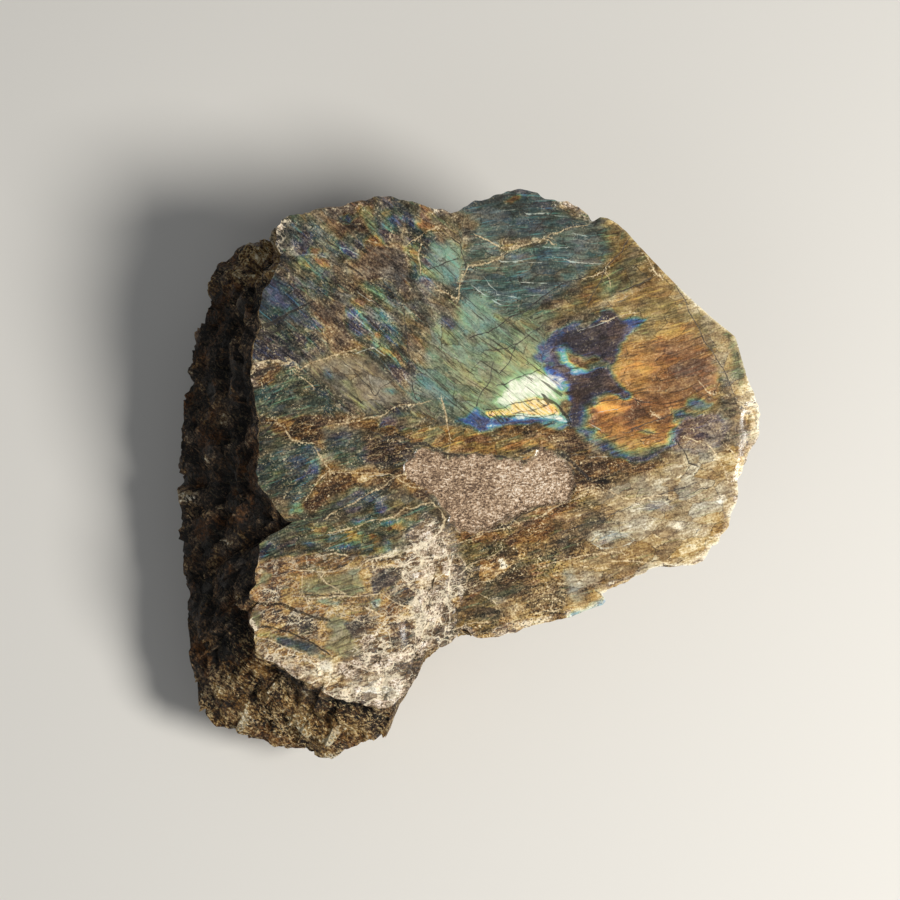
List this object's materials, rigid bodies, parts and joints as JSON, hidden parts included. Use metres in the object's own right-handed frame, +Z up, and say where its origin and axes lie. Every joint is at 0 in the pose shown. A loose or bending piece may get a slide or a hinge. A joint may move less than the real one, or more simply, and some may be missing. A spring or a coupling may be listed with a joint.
{
  "type": "labradorite stone",
  "caption": "Rough chunk of labradorite with one polished face that flashes blue, green and gold, lying on a flat cleavage face with the polished face up.",
  "frame": {"origin": "middle of the stone's bounding box, in the plane it rests on", "axes": "+Z up through the polished face, which leans 10 degrees towards -Y; +X across the polished face, from the bulging dark wall to the thin right rim; +Y from the hanging lobe to the peaked edge"},
  "size_m": [0.124, 0.116, 0.0515],
  "materials": {
    "labradorite": "one face polished and iridescent, the rest rough broken stone"
  },
  "bodies": {
    "root": {"labradorite_stone": "labradorite"}
  },
  "joints": []
}
